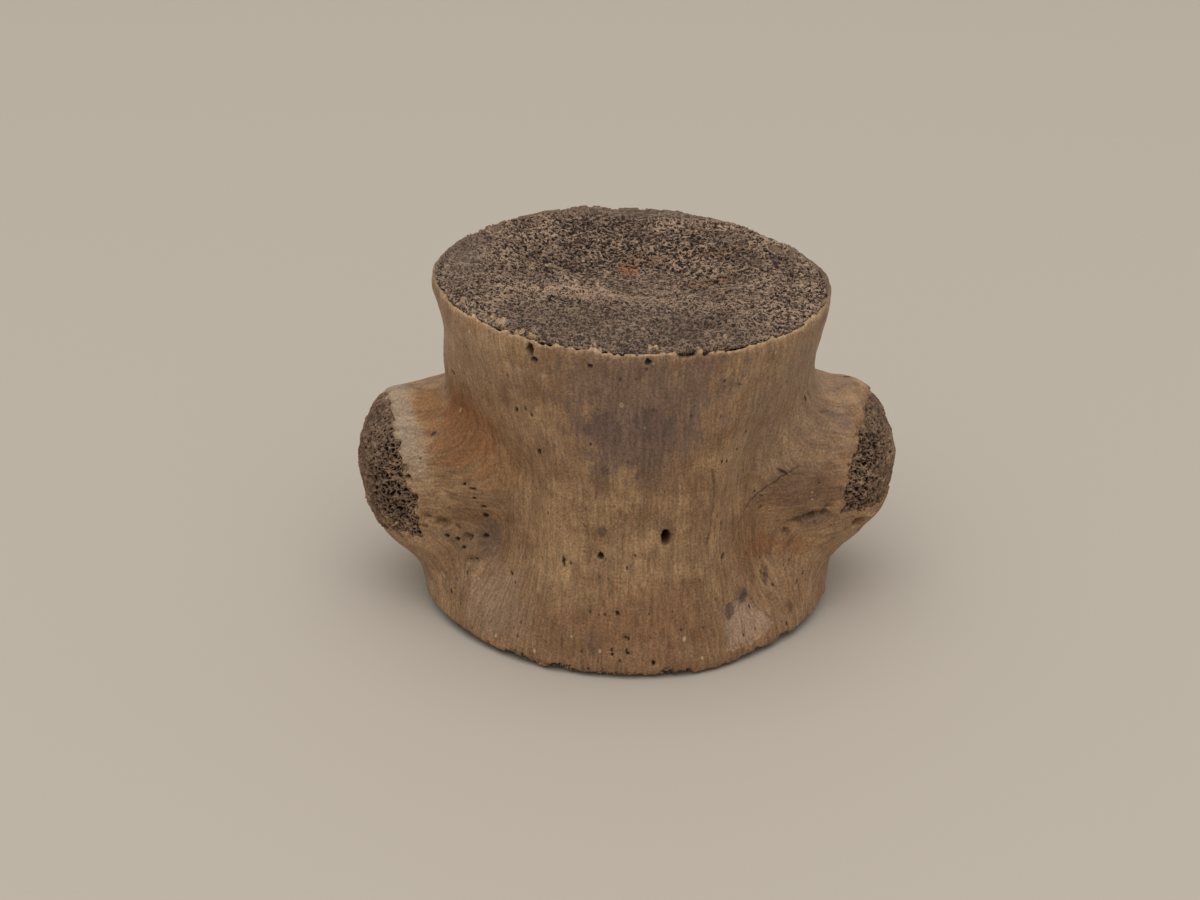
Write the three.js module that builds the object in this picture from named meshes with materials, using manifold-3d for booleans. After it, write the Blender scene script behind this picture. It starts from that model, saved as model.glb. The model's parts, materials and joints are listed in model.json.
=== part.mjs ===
// Fossil champsosaur vertebra: the isolated body of the bone (the centrum), life size, standing on one end.
// Millimetres, +Z up, the belly side of the bone towards -Y. The origin is under the middle of the box.
//
// The bone is one piece in life. It is modelled whole, as a spool with two rib processes, and parted by
// thin cuts where its surfaces have names: the smooth centrum, its two spongy end faces, the two rib
// facets on the flanks and the two facets on the back where the neural arch sat.
import * as THREE from "three";
import { mergeVertices } from "three/addons/utils/BufferGeometryUtils.js";
import Module from "manifold-3d";

// Driving dimensions of the spool
const LENGTH = 25.5; // from end face to end face, the standing height
const UPPER_TILT = -0.045; // the upper end falls this much for each mm towards +X
const UPPER_RIM = { left: 14.1, right: 13.9, front: 12.2, back: 12.8, squareness: 2.0, backSquareness: 1.75 };
const LOWER_RIM = { left: 15.5, right: 14.6, front: 12.2, back: 12.6, squareness: 1.9 };
const WAIST = { height: 0.43, left: 12.4, right: 12.2, front: 10.9, back: 11.6, squareness: 2.0 };
const UPPER_FLARE = 2.3; // how late the wall turns out to the rim, as a power of the height
const LOWER_FLARE = 1.5;
const RIM_ROUNDING = 0.25; // how far the worn edge of each end is drawn in
const BACK_FLAT = 12.3; // the floor of the neural canal planes the back off at this depth
const BACK_BLEND = 1.6;

// The hollows between the belly column and the rib processes
const HOLLOW = { across: 10.2, depth: -8.4, height: 10.6, radii: [3.4, 4.2, 6.2], blend: 3.4 };

// The rib processes, stout stubs that stand out of the flanks nearer the lower end
const PROCESS = { depth: 1.6, from: 6, squareness: 2.8 };
const PROCESS_ROOT = { halfDepth: 6.4, halfHeight: 7.7, drop: 2.8 }; // the root sits lower than the tip
const PROCESS_TIP = { halfDepth: 5.4, halfHeight: 4.9 };
const PROCESS_EDGE = 1.6; // rounding between a process's flank and its domed tip
const PROCESS_FILLET = 3.4; // rounding where a process grows out of the spool
const DOME_LIMIT = 2; // how far out from its middle a domed tip goes on falling, in half widths
const LEFT_TIP = { side: -1, reach: 19.8, height: 10.1, dome: 2.2 };
const RIGHT_TIP = { side: 1, reach: 19.0, height: 11.2, dome: 2.2 };

// End faces: a worn shelf round the rim and a shallow dish off centre
const UPPER_DISH = { depth: 1.8, across: 0.8, along: 0.6, middle: 2.4 };
const LOWER_DISH = { depth: 1.0, across: 0.74, along: 0.74, middle: 0 };
const DISH_FLOOR = 0.1; // share of a dish's radius that is level
const LOWER_LIFT = 0.6; // the lower rim stands clear of the table at the flanks
const LOWER_FLAT_FRONT = 18; // degrees each side of the belly that touch the table
const LOWER_FLAT_BACK = 36; // degrees each side of the back that touch the table
const LIFT_RUN = 60; // degrees over which the rim rises

// The thin cuts that part the spongy faces from the centrum
const CUT = 0.3;
const SKIN = 0.8; // width of the compact rim left round an end face
const END_FACE = { middle: 1.5, edge: 0.5 }; // thickness of a spongy end face, a lens
const RIB_FACET = { depth: 1.5, halfDepth: 5.0, halfHeight: 5.4, squareness: 2.6, turn: 15, thickness: 2.6 };
const ARCH_FACET = { inner: 2.6, outer: 11.4, low: 4.2, high: 20.4, middle: 11.6, corner: 1.6, floor: 8.6 };

// Mesh fineness
const SEGMENTS = 72;
const SIDE_CROWDING = 0.14; // brings the segments closer together round the rib processes
const WALL_STEPS = 28;
const FACE_STEPS = 6;
const FLOOR_STEPS = 3;
const OUTLINE_STEPS = 36;
const CORNER_STEPS = 5;
const CORE = 4; // within the bone in every direction
const FAR = 26; // clear of the bone in every direction
const HALVINGS = 30;
const WELD = 1e-4;

const wasm = await Module();
wasm.setup();

const compactBone = new THREE.MeshStandardMaterial({ color: 0x8a6b50, roughness: 0.75, metalness: 0 });
const spongyBone = new THREE.MeshStandardMaterial({ color: 0x4d433d, roughness: 0.95, metalness: 0 });

// Joins two distances with a rounding of size k: the nearer one, or the farther one.
function smoothMin(a, b, k) {
  const h = Math.max(k - Math.abs(a - b), 0) / k;
  return Math.min(a, b) - (h * h * k) / 4;
}
const smoothMax = (a, b, k) => -smoothMin(-a, -b, k);

// Length of (a, b) in a rounded-square measure: 2 gives a circle, more a squarer outline.
const superHypot = (a, b, power) => (Math.abs(a) ** power + Math.abs(b) ** power) ** (1 / power);

// Radius of a rounded outline in the direction phi, counted from the belly side.
function outlineRadius(phi, { left, right, front, back, squareness, backSquareness = squareness }) {
  const facingFront = Math.cos(phi) > 0;
  const power = facingFront ? squareness : backSquareness;
  const across = Math.abs(Math.sin(phi)) / (phi > 0 ? right : left);
  const along = Math.abs(Math.cos(phi)) / (facingFront ? front : back);
  return (across ** power + along ** power) ** (-1 / power);
}

// Height of the lower rim above the table: flat under the belly and the back, lifted at the flanks.
function lowerRimHeight(phi) {
  const turned = Math.abs(THREE.MathUtils.radToDeg(phi));
  const fromFront = THREE.MathUtils.smoothstep(turned, LOWER_FLAT_FRONT, LOWER_FLAT_FRONT + LIFT_RUN);
  const backStart = 180 - LOWER_FLAT_BACK;
  const fromBack = 1 - THREE.MathUtils.smoothstep(turned, backStart - LIFT_RUN, backStart);
  return LOWER_LIFT * Math.min(fromFront, fromBack);
}
const upperRimHeight = (x) => LENGTH + UPPER_TILT * x;

// The spool: its outline changes from rim to waist to rim.
function spool(x, y, z) {
  const phi = Math.atan2(x, -y);
  const t = THREE.MathUtils.clamp(z / LENGTH, 0, 1);
  const waist = outlineRadius(phi, WAIST);
  const upper = t > WAIST.height;
  const rim = outlineRadius(phi, upper ? UPPER_RIM : LOWER_RIM);
  const flare = upper
    ? ((t - WAIST.height) / (1 - WAIST.height)) ** UPPER_FLARE
    : ((WAIST.height - t) / WAIST.height) ** LOWER_FLARE;
  return Math.hypot(x, y) - (waist + (rim - waist) * flare);
}

// One rib process: a stub that tapers to a domed tip.
function ribProcess(x, y, z, tip) {
  const out = tip.side * x;
  const taper = THREE.MathUtils.clamp((out - PROCESS.from) / (tip.reach - PROCESS.from), 0, 1);
  const halfDepth = THREE.MathUtils.lerp(PROCESS_ROOT.halfDepth, PROCESS_TIP.halfDepth, taper);
  const halfHeight = THREE.MathUtils.lerp(PROCESS_ROOT.halfHeight, PROCESS_TIP.halfHeight, taper);
  const height = tip.height - PROCESS_ROOT.drop * (1 - taper);
  const spread = superHypot((y - PROCESS.depth) / halfDepth, (z - height) / halfHeight, PROCESS.squareness);
  const flank = (spread - 1) * halfDepth;
  const end = out - tip.reach + tip.dome * Math.min(spread, DOME_LIMIT) ** 2;
  return Math.max(smoothMax(flank, end, PROCESS_EDGE), -out);
}

// The hollow in front of one rib process, as a distance to an ellipsoid.
function hollow(x, y, z, side) {
  const [across, deep, high] = HOLLOW.radii;
  const aside = (x - side * HOLLOW.across) / across;
  const ahead = (y - HOLLOW.depth) / deep;
  const above = (z - HOLLOW.height) / high;
  return (Math.hypot(aside, ahead, above) - 1) * across;
}

// Distance to the wall of the whole bone, below zero inside it.
function bone(x, y, z) {
  let d = spool(x, y, z);
  for (const side of [-1, 1]) d = smoothMax(d, -hollow(x, y, z, side), HOLLOW.blend);
  for (const tip of [LEFT_TIP, RIGHT_TIP]) d = smoothMin(d, ribProcess(x, y, z, tip), PROCESS_FILLET);
  return smoothMax(d, y - BACK_FLAT, BACK_BLEND);
}

// The wall's radius in the direction phi at height z, found by halving.
function wallRadius(phi, z) {
  const [sx, sy] = [Math.sin(phi), -Math.cos(phi)];
  let [inside, outside] = [CORE, FAR];
  for (let i = 0; i < HALVINGS; i++) {
    const r = (inside + outside) / 2;
    if (bone(r * sx, r * sy, z) < 0) inside = r;
    else outside = r;
  }
  return inside;
}

// Direction of each segment, closer together at the flanks.
function segmentAngle(i) {
  const turn = (2 * Math.PI * (i % SEGMENTS)) / SEGMENTS;
  const phi = turn + SIDE_CROWDING * Math.sin(2 * turn);
  return phi > Math.PI ? phi - 2 * Math.PI : phi;
}

// A point of an end face, at the share rho of the way from the middle to the rim.
function endPoint(phi, rho, end, sink) {
  const upper = end === "upper";
  const dish = upper ? UPPER_DISH : LOWER_DISH;
  const rimHeight = upper ? upperRimHeight(0) : lowerRimHeight(phi);
  const rim = wallRadius(phi, upper ? LENGTH : 0) - RIM_ROUNDING;
  const [x, y] = [rho * rim * Math.sin(phi), -rho * rim * Math.cos(phi)];
  const away = Math.hypot(x / UPPER_RIM.left / dish.across, (y - dish.middle) / UPPER_RIM.front / dish.along);
  const bowl = dish.depth * (1 - THREE.MathUtils.smoothstep(away, DISH_FLOOR, 1));
  const inward = upper ? -1 : 1;
  const level = upper ? upperRimHeight(x) : rimHeight * rho ** 2;
  return new THREE.Vector3(x, y, level + inward * (bowl + sink));
}

// A point of the outer wall, at the share t of the way up.
function wallPoint(phi, t) {
  const low = lowerRimHeight(phi);
  let z = low + t * (LENGTH - low);
  const r = wallRadius(phi, z) - (t === 0 || t === 1 ? RIM_ROUNDING : 0);
  const x = r * Math.sin(phi);
  z += t * (upperRimHeight(x) - LENGTH);
  return new THREE.Vector3(x, -r * Math.cos(phi), z);
}

// A closed surface turned about the axis, each station of the lathe's profile placed by its own function.
function turned(stations) {
  const profile = stations.map((_, j) => new THREE.Vector2(1, j));
  const lathe = new THREE.LatheGeometry(profile, SEGMENTS);
  const place = lathe.getAttribute("position");
  for (let i = 0; i <= SEGMENTS; i++) {
    stations.forEach((station, j) => {
      const p = station(segmentAngle(i));
      place.setXYZ(i * stations.length + j, p.x, p.y, p.z);
    });
  }
  return lathe;
}

// A geometry as a closed solid that can be cut, with the empty triangles at the poles left out.
function solidOf(geometry) {
  const bare = geometry.clone().deleteAttribute("normal").deleteAttribute("uv");
  const merged = mergeVertices(bare, WELD);
  const corners = [];
  for (let i = 0; i < merged.index.count; i += 3) {
    const [a, b, c] = [0, 1, 2].map((k) => merged.index.getX(i + k));
    if (a !== b && b !== c && c !== a) corners.push(a, b, c);
  }
  const mesh = new wasm.Mesh({
    numProp: 3,
    vertProperties: merged.getAttribute("position").array,
    triVerts: new Uint32Array(corners),
  });
  return new wasm.Manifold(mesh);
}

// A solid as a named mesh.
function meshOf(name, solid, material) {
  const { vertProperties, triVerts } = solid.getMesh();
  const geometry = new THREE.BufferGeometry();
  geometry.setAttribute("position", new THREE.BufferAttribute(new Float32Array(vertProperties), 3));
  geometry.setIndex(new THREE.BufferAttribute(new Uint32Array(triVerts), 1));
  geometry.computeVertexNormals();
  const mesh = new THREE.Mesh(geometry, material.clone());
  mesh.name = name;
  return mesh;
}

// Evenly spaced values, both ends included.
function shares(from, to, steps) {
  return Array.from({ length: steps + 1 }, (_, i) => THREE.MathUtils.lerp(from, to, i / steps));
}

// Share of the radius where the compact rim ends, and where the spongy face inside it begins.
const RIM_INNER = 1 - SKIN / UPPER_RIM.left;
const FACE_EDGE = RIM_INNER - CUT / UPPER_RIM.left;

// Thickness of a spongy end face at the share rho of the way out: a lens.
const lensThickness = (rho) => THREE.MathUtils.lerp(END_FACE.middle, END_FACE.edge, rho ** 2);

// The underside of a spongy end face, or the floor of the recess that it lies in, from the middle outwards.
function underside(end, edge, gap) {
  const place = (rho) => (phi) => endPoint(phi, rho, end, lensThickness(rho) + gap);
  return shares(0, edge, FLOOR_STEPS).map(place);
}

// The centrum: both ends have a shallow recess for their spongy face.
function centrumSolid() {
  const floor = (end) => underside(end, RIM_INNER, CUT);
  const rimTop = (end) => (phi) => endPoint(phi, RIM_INNER, end, 0);
  const wall = shares(0, 1, WALL_STEPS).map((t) => (phi) => wallPoint(phi, t));
  const upward = [...floor("lower"), rimTop("lower"), ...wall, rimTop("upper"), ...floor("upper").reverse()];
  return solidOf(turned(upward));
}

// A spongy end face: a dished disc that fills the recess but for the cut.
function endFaceSolid(end) {
  const outer = shares(0, FACE_EDGE, FACE_STEPS).map((rho) => (phi) => endPoint(phi, rho, end, 0));
  const inner = underside(end, FACE_EDGE, 0);
  const upward = end === "upper" ? [...inner, ...outer.reverse()] : [...outer, ...inner.reverse()];
  return solidOf(turned(upward));
}

// A prism that cuts a rib facet out of the tip of its process, grown all round by the cut.
function ribFacetCutter(tip, grow) {
  const { halfDepth, halfHeight, squareness } = RIB_FACET;
  const outline = {
    left: halfDepth + grow,
    right: halfDepth + grow,
    front: halfHeight + grow,
    back: halfHeight + grow,
    squareness,
  };
  const shape = new THREE.Shape();
  for (let i = 0; i < OUTLINE_STEPS; i++) {
    const phi = (2 * Math.PI * i) / OUTLINE_STEPS;
    const r = outlineRadius(phi, outline);
    if (i === 0) shape.moveTo(r * Math.sin(phi), r * Math.cos(phi));
    else shape.lineTo(r * Math.sin(phi), r * Math.cos(phi));
  }
  const start = tip.reach - tip.dome - RIB_FACET.thickness - grow;
  const prism = new THREE.ExtrudeGeometry(shape, { depth: FAR - start, bevelEnabled: false });
  prism.rotateZ(THREE.MathUtils.degToRad(-tip.side * RIB_FACET.turn));
  prism.applyMatrix4(new THREE.Matrix4().makeBasis(
    new THREE.Vector3(0, tip.side, 0),
    new THREE.Vector3(0, 0, 1),
    new THREE.Vector3(tip.side, 0, 0),
  ));
  prism.translate(tip.side * start, RIB_FACET.depth, tip.height);
  return solidOf(prism);
}

// A prism that cuts one facet of the neural arch out of the back: a rounded triangle, its point inwards.
function archFacetCutter(side, grow) {
  const { inner, outer, low, high, middle, corner, floor } = ARCH_FACET;
  const corners = [
    new THREE.Vector2(side * inner, middle),
    new THREE.Vector2(side * outer, high),
    new THREE.Vector2(side * outer, low),
  ];
  const shape = new THREE.Shape();
  corners.forEach((point, i) => {
    const before = corners[(i + 2) % 3].clone().sub(point).normalize();
    const after = corners[(i + 1) % 3].clone().sub(point).normalize();
    const enter = point.clone().addScaledVector(before, corner);
    const leave = point.clone().addScaledVector(after, corner);
    if (i === 0) shape.moveTo(enter.x, enter.y);
    else shape.lineTo(enter.x, enter.y);
    shape.quadraticCurveTo(point.x, point.y, leave.x, leave.y);
  });
  const centre = new THREE.Vector2((inner + 2 * outer) / 3 * side, (low + high + middle) / 3);
  const scale = 1 + grow / ((outer - inner) / 3);
  const start = floor - grow;
  const depth = FAR - start;
  const prism = new THREE.ExtrudeGeometry(shape, { depth, bevelEnabled: false, curveSegments: CORNER_STEPS });
  prism.translate(-centre.x, -centre.y, 0).scale(scale, scale, 1).translate(centre.x, centre.y, 0);
  prism.rotateX(Math.PI / 2).translate(0, FAR, 0);
  return solidOf(prism);
}

// The facets are cut out of the whole centrum, each leaving a thin gap behind it.
const whole = centrumSolid();
let centrum = whole;
const facets = [];
for (const [name, tip] of [["left", LEFT_TIP], ["right", RIGHT_TIP]]) {
  facets.push([`${name}_rib_facet`, whole.intersect(ribFacetCutter(tip, 0))]);
  centrum = centrum.subtract(ribFacetCutter(tip, CUT));
  facets.push([`${name}_arch_facet`, whole.intersect(archFacetCutter(tip.side, 0))]);
  centrum = centrum.subtract(archFacetCutter(tip.side, CUT));
}

const vertebra = new THREE.Group();
vertebra.add(meshOf("centrum", centrum, compactBone));
for (const end of ["upper", "lower"]) vertebra.add(meshOf(`${end}_end_face`, endFaceSolid(end), spongyBone));
for (const [name, solid] of facets) vertebra.add(meshOf(name, solid, spongyBone));

// The origin is brought under the middle of the box.
const box = new THREE.Box3().setFromObject(vertebra);
const middle = box.getCenter(new THREE.Vector3());
vertebra.position.set(-middle.x, -middle.y, -box.min.z);

export default vertebra;
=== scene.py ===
import json
import math

import bpy
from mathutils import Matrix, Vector

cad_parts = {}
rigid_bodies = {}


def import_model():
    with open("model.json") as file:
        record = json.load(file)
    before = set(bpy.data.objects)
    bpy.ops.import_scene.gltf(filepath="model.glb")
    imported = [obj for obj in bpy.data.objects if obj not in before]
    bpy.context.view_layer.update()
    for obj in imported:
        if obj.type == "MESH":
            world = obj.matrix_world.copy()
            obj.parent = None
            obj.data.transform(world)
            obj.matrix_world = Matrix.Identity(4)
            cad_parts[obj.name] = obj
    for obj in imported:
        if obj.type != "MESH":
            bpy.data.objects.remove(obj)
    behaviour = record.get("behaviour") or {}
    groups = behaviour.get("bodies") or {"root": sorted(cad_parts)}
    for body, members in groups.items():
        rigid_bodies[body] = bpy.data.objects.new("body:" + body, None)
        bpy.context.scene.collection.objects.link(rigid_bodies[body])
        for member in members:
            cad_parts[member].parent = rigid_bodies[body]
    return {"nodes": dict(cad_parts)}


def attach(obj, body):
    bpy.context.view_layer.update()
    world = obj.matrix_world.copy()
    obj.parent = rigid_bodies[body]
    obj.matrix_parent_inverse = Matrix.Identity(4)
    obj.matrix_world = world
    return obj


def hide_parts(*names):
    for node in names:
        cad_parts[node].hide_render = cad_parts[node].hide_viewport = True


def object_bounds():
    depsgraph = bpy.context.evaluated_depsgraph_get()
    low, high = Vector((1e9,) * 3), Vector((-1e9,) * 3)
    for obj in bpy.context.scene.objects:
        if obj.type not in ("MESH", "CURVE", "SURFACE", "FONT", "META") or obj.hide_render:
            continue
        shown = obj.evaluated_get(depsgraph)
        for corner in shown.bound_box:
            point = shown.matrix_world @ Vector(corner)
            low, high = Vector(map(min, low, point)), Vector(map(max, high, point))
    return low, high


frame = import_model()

cad_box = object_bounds()

# The view, the table and the light
# The bone stands on a pale matt table top under one broad soft light and a fainter all-round glow.
# The camera looks down on the belly side; its distance and lens come from the outline in the photograph.
MM = 0.001
LOOK_AT = Vector((-1.9, -2.0, 12.75)) * MM
LOOK_DOWN = math.radians(29)
CAMERA_AWAY = 180 * MM
PIXELS_PER_MM = 14.2
PHOTO_WIDTH = 1200
SENSOR_MM = 36
TABLE_SIDE = 2.4
TABLE_COLOUR = "BFB6AA"
LAMP = {"place": (-0.02, -0.26, 0.75), "across": 1.0, "watts": 4.4}
GLOW = {"colour": "F3EEE6", "strength": 0.54}


def linear(hex_colour):
    """An sRGB hex colour as linear RGBA."""
    parts = [int(hex_colour[i:i + 2], 16) / 255 for i in (0, 2, 4)]
    return (*[c / 12.92 if c <= 0.04045 else ((c + 0.055) / 1.055) ** 2.4 for c in parts], 1)


def add(tree, kind, feeds, out=0, **settings):
    """Adds a node to a tree, sets it up, feeds its inputs and returns one of its outputs."""
    made = tree.nodes.new(kind)
    for name, value in settings.items():
        setattr(made, name, value)
    usable = [socket for socket in made.inputs if socket.enabled]
    for key, value in feeds.items():
        socket = usable[key] if isinstance(key, int) else next(s for s in usable if s.name == key)
        if isinstance(value, bpy.types.NodeSocket):
            tree.links.new(value, socket)
        else:
            socket.default_value = value
    outputs = [socket for socket in made.outputs if socket.enabled]
    return (outputs or [None])[out] if isinstance(out, int) else made.outputs[out]


toward_camera = Vector((0, -math.cos(LOOK_DOWN), math.sin(LOOK_DOWN)))
bpy.ops.object.select_all(action="DESELECT")
bpy.ops.object.camera_add(location=LOOK_AT + CAMERA_AWAY * toward_camera,
                          rotation=(math.pi / 2 - LOOK_DOWN, 0, 0))
camera = bpy.context.object
camera.data.sensor_width = SENSOR_MM
camera.data.lens = SENSOR_MM * PIXELS_PER_MM * (CAMERA_AWAY / MM) / PHOTO_WIDTH
camera.data.clip_start = 10 * MM
bpy.context.scene.camera = camera

bpy.ops.mesh.primitive_plane_add(size=TABLE_SIDE)
table = bpy.context.object
table.name = "table"
# Matt laminate: a smooth, pale, warm grey sheet that scatters light evenly.
matt_laminate = bpy.data.materials.new("matt_laminate")
matt_laminate.use_nodes = True
shader = matt_laminate.node_tree.nodes["Principled BSDF"]
shader.inputs["Base Color"].default_value = linear(TABLE_COLOUR)
shader.inputs["Roughness"].default_value = 0.6
table.data.materials.append(matt_laminate)

bpy.ops.object.light_add(type="AREA", location=LAMP["place"])
lamp = bpy.context.object
lamp.data.shape = "DISK"
lamp.data.size = LAMP["across"]
lamp.data.energy = LAMP["watts"]
room = bpy.data.worlds.new("room")
room.use_nodes = True
room.node_tree.nodes["Background"].inputs["Color"].default_value = linear(GLOW["colour"])
room.node_tree.nodes["Background"].inputs["Strength"].default_value = GLOW["strength"]
bpy.context.scene.world = room
bpy.context.scene.view_settings.view_transform = "Standard"

# The bone's form
# The whole bone as one smooth body: copies of the solids, swelled until the thin cuts between them
# close, fused, drawn back and smoothed. The pieces are laid on it, and it is thrown away at the end.
GAP_CLOSER = 0.2 * MM
GRAIN = 0.25 * MM
RIM_ZONE = 0.9 * MM
FUSED_SMOOTHING = 3
WALL_SMOOTHING = 30
RIM_SMOOTHING = 5


def modify(piece, kind, **settings):
    """Adds a modifier to a piece, sets it up and applies it."""
    bpy.context.view_layer.objects.active = piece
    modifier = piece.modifiers.new(kind.lower(), kind)
    for name, value in settings.items():
        setattr(modifier, name, value)
    bpy.ops.object.modifier_apply(modifier=modifier.name)


bpy.ops.object.select_all(action="DESELECT")
for solid in frame["nodes"].values():
    solid.select_set(True)
bpy.context.view_layer.objects.active = frame["nodes"]["centrum"]
bpy.ops.object.duplicate()
bpy.ops.object.join()
form = bpy.context.object
form.name = "form"
bpy.ops.object.mode_set(mode="EDIT")
bpy.ops.mesh.select_all(action="SELECT")
bpy.ops.mesh.remove_doubles(threshold=0.001 * MM)
bpy.ops.object.mode_set(mode="OBJECT")
modify(form, "DISPLACE", strength=GAP_CLOSER, mid_level=0)
modify(form, "REMESH", mode="VOXEL", voxel_size=GRAIN)
modify(form, "SMOOTH", factor=0.5, iterations=FUSED_SMOOTHING)
modify(form, "DISPLACE", strength=-GAP_CLOSER, mid_level=0)
modify(form, "REMESH", mode="VOXEL", voxel_size=GRAIN)
wall_start = cad_box[0][2] + RIM_ZONE
wall_end = cad_box[1][2] - 2 * RIM_ZONE
walls = [vertex.index for vertex in form.data.vertices if wall_start < vertex.co.z < wall_end]
form.vertex_groups.new(name="walls").add(walls, 1, "REPLACE")
modify(form, "SMOOTH", factor=0.5, iterations=WALL_SMOOTHING, vertex_group="walls")
modify(form, "SMOOTH", factor=0.5, iterations=RIM_SMOOTHING)
form.data.materials.clear()
form.vertex_groups.clear()
bpy.ops.object.shade_smooth()

# Where the bone is spongy
# Compact bone covers the column and the processes. Spongy bone shows on both ends, on the rib facets
# and where the neural arch sat. This tells, in mm, how far inside a spongy patch a point of the form lies.
RAGGED = {"coarse": (0.7, 0.75), "fine": (2.6, 0.45)}
RAGGED_RIM = 2.2
NOISE_SPAN = (0.3, 0.7)
RIB_FACETS = {
    "left": {"lean": (-1, -0.2, -0.18), "from": 13.98, "bottom": 6.6},
    "right": {"lean": (1, -0.15, -0.19), "from": 13.85, "bottom": 8.6},
}
FACET_UNDERSIDE = -0.55
END_RISE = 0.75
END_REACH = 0.7
END_ZONES = (3, 22)
END_MIDDLE = {"half sizes": (13.0, 11.0, 1000), "share": 0.96, "slope": 30}
LOWER_EDGE = 0.6
ARCH_POINT = (2.6, 11.6)
ARCH_SLOPES = (1.0, -1.2)
ARCH_DEPTH = 9.0


def geometry_tree(name, **outputs):
    """A new geometry node tree with a geometry going in and the named outputs coming out."""
    made = bpy.data.node_groups.new(name, "GeometryNodeTree")
    made.interface.new_socket("Geometry", in_out="INPUT", socket_type="NodeSocketGeometry")
    for output, kind in outputs.items():
        made.interface.new_socket(output, in_out="OUTPUT", socket_type=kind)
    return made


def place_in_mm(tree):
    """The position of each point, in millimetres."""
    place = add(tree, "GeometryNodeInputPosition", {})
    return add(tree, "ShaderNodeVectorMath", {0: place, "Scale": 1 / MM}, operation="SCALE")


spongy_reach = geometry_tree("spongy_reach", Reach="NodeSocketFloat")
tree = spongy_reach
place = place_in_mm(tree)
x, y, z = (add(tree, "ShaderNodeSeparateXYZ", {0: place}, out=axis) for axis in "XYZ")
rise = add(tree, "ShaderNodeSeparateXYZ", {0: add(tree, "GeometryNodeInputNormal", {})}, out="Z")
level = add(tree, "ShaderNodeMath", {0: rise}, operation="ABSOLUTE")
flat = add(tree, "ShaderNodeMapRange", {0: level, 1: END_RISE, 2: 1.0, 3: 0.0, 4: END_REACH}, clamp=False)
middle = add(tree, "ShaderNodeVectorMath", {0: place, 1: END_MIDDLE["half sizes"]}, operation="DIVIDE")
middle = add(tree, "ShaderNodeVectorMath", {0: middle}, out="Value", operation="LENGTH")
middle = add(tree, "ShaderNodeMath", {0: END_MIDDLE["share"], 1: middle}, operation="SUBTRACT")
middle = add(tree, "ShaderNodeMath", {0: middle, 1: END_MIDDLE["slope"]}, operation="MULTIPLY")
flat = add(tree, "ShaderNodeMath", {0: flat, 1: middle}, operation="MAXIMUM")
above = add(tree, "ShaderNodeMath", {0: z, 1: END_ZONES[1]}, operation="SUBTRACT")
below = add(tree, "ShaderNodeMath", {0: END_ZONES[0], 1: z}, operation="SUBTRACT")
at_end = add(tree, "ShaderNodeMath", {0: above, 1: below}, operation="MAXIMUM")
reach = add(tree, "ShaderNodeMath", {0: flat, 1: at_end}, operation="MINIMUM")
lower_edge = add(tree, "ShaderNodeMath", {0: LOWER_EDGE, 1: z}, operation="SUBTRACT")
reach = add(tree, "ShaderNodeMath", {0: reach, 1: lower_edge}, operation="MAXIMUM")
for facet in RIB_FACETS.values():
    lean = add(tree, "ShaderNodeVectorMath", {0: place, 1: facet["lean"]}, out="Value",
               operation="DOT_PRODUCT")
    beyond = add(tree, "ShaderNodeMath", {0: lean, 1: facet["from"]}, operation="SUBTRACT")
    over_bottom = add(tree, "ShaderNodeMath", {0: z, 1: facet["bottom"]}, operation="SUBTRACT")
    beyond = add(tree, "ShaderNodeMath", {0: beyond, 1: over_bottom}, operation="MINIMUM")
    upturned = add(tree, "ShaderNodeMath", {0: rise, 1: FACET_UNDERSIDE}, operation="SUBTRACT")
    beyond = add(tree, "ShaderNodeMath", {0: beyond, 1: upturned}, operation="MINIMUM")
    reach = add(tree, "ShaderNodeMath", {0: reach, 1: beyond}, operation="MAXIMUM")
aside = add(tree, "ShaderNodeMath", {0: x}, operation="ABSOLUTE")
aside = add(tree, "ShaderNodeMath", {0: aside, 1: ARCH_POINT[0]}, operation="SUBTRACT")
up = add(tree, "ShaderNodeMath", {0: z, 1: ARCH_POINT[1]}, operation="SUBTRACT")
sides = [add(tree, "ShaderNodeMath", {0: up, 1: slope}, operation="MULTIPLY") for slope in ARCH_SLOPES]
spread = add(tree, "ShaderNodeMath", {0: sides[0], 1: sides[1]}, operation="MAXIMUM")
triangle = add(tree, "ShaderNodeMath", {0: aside, 1: spread}, operation="SUBTRACT")
backward = add(tree, "ShaderNodeMath", {0: y, 1: ARCH_DEPTH}, operation="SUBTRACT")
arch = add(tree, "ShaderNodeMath", {0: triangle, 1: backward}, operation="MINIMUM")
reach = add(tree, "ShaderNodeMath", {0: reach, 1: arch}, operation="MAXIMUM")
rougher = add(tree, "ShaderNodeMapRange", {0: above, 1: 0.0, 2: 1.0, 3: 1.0, 4: RAGGED_RIM})
for per_mm, amount in RAGGED.values():
    noise = add(tree, "ShaderNodeTexNoise", {"Vector": place, "Scale": per_mm, "Detail": 3.0})
    jag = add(tree, "ShaderNodeMapRange", {0: noise, 1: NOISE_SPAN[0], 2: NOISE_SPAN[1],
                                           3: -amount / 2, 4: amount / 2}, clamp=False)
    reach = add(tree, "ShaderNodeMath", {0: jag, 1: rougher, 2: reach}, operation="MULTIPLY_ADD")
add(tree, "NodeGroupOutput", {"Reach": reach})

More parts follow.
